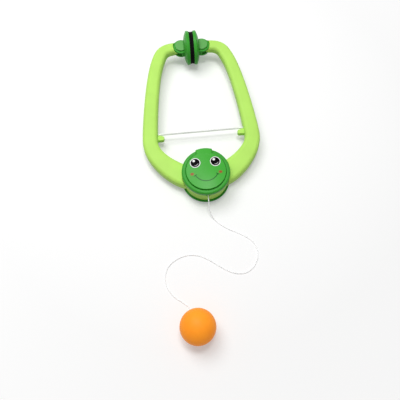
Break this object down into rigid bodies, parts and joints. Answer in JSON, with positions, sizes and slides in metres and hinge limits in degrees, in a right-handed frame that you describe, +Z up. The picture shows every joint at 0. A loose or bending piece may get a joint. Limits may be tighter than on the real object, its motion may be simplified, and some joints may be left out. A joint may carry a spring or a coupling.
{
  "type": "door-frame table tennis trainer clamp",
  "caption": "Sprung clamp of two curved arms on a round hub; rubber-faced swivelling pads grip an edge and hold a ball on a string.",
  "frame": {"origin": "bottom centre of the clamp's own box as it lies on its back, without the string and ball", "axes": "+Z up out of the hub's face, +Y from the hub towards the pads, +X to the right arm"},
  "size_m": [0.1514, 0.4189, 0.0456],
  "materials": {
    "light_green_plastic": "moulded ABS, satin",
    "dark_green_plastic": "moulded ABS, satin",
    "face_green_plastic": "moulded ABS, printed, satin",
    "screw_steel": "zinc-plated",
    "pad_rubber": "moulded rubber, matt",
    "elastic_white": "braided elastic cord",
    "string_white": "twisted nylon string",
    "ball_orange": "matt celluloid-type plastic"
  },
  "bodies": {
    "hub": {"front_cover": "dark_green_plastic", "face_plate": "face_green_plastic", "rear_cover": "dark_green_plastic", "cord_ring": "light_green_plastic", "cover_screws": "screw_steel", "elastic_cord": "elastic_white", "string_loop": "string_white", "string": "string_white", "ball": "ball_orange", "ball_knot": "string_white"},
    "left_arm": {"left_arm_front": "light_green_plastic", "left_arm_rear": "light_green_plastic", "left_arm_screws": "screw_steel"},
    "right_arm": {"right_arm_front": "light_green_plastic", "right_arm_rear": "light_green_plastic", "right_arm_screws": "screw_steel"},
    "left_pad": {"left_pad_plate": "dark_green_plastic", "left_pad_pin": "dark_green_plastic", "left_pad_rubber": "pad_rubber"},
    "right_pad": {"right_pad_plate": "dark_green_plastic", "right_pad_pin": "dark_green_plastic", "right_pad_rubber": "pad_rubber"}
  },
  "joints": [
    {"name": "left_arm_open", "type": "hinge", "parent": "hub", "child": "left_arm", "pos_m": [0, -0.09401, 0.01269], "axis": [0, -0.0516, 0.9987], "range_deg": [0, 15], "stiffness_Nm_per_rad": 1, "springref_deg": -28.65, "deforming": ["elastic_cord"]},
    {"name": "right_arm_open", "type": "hinge", "parent": "hub", "child": "right_arm", "pos_m": [0, -0.09401, 0.01269], "axis": [0, -0.0516, 0.9987], "range_deg": [-15, 0]},
    {"name": "left_pad_swivel", "type": "hinge", "parent": "left_arm", "child": "left_pad", "pos_m": [-0.0142, 0.10173, 0.0228], "axis": [0, -0.0516, 0.9987], "range_deg": [-15, 0]},
    {"name": "right_pad_swivel", "type": "hinge", "parent": "right_arm", "child": "right_pad", "pos_m": [0.0142, 0.10173, 0.0228], "axis": [0, -0.0516, 0.9987], "range_deg": [0, 15]}
  ],
  "couplings": [
    {"joint": "right_arm_open", "follows": "left_arm_open", "ratio": -1},
    {"joint": "left_pad_swivel", "follows": "left_arm_open", "ratio": -1},
    {"joint": "right_pad_swivel", "follows": "left_arm_open", "ratio": 1}
  ]
}
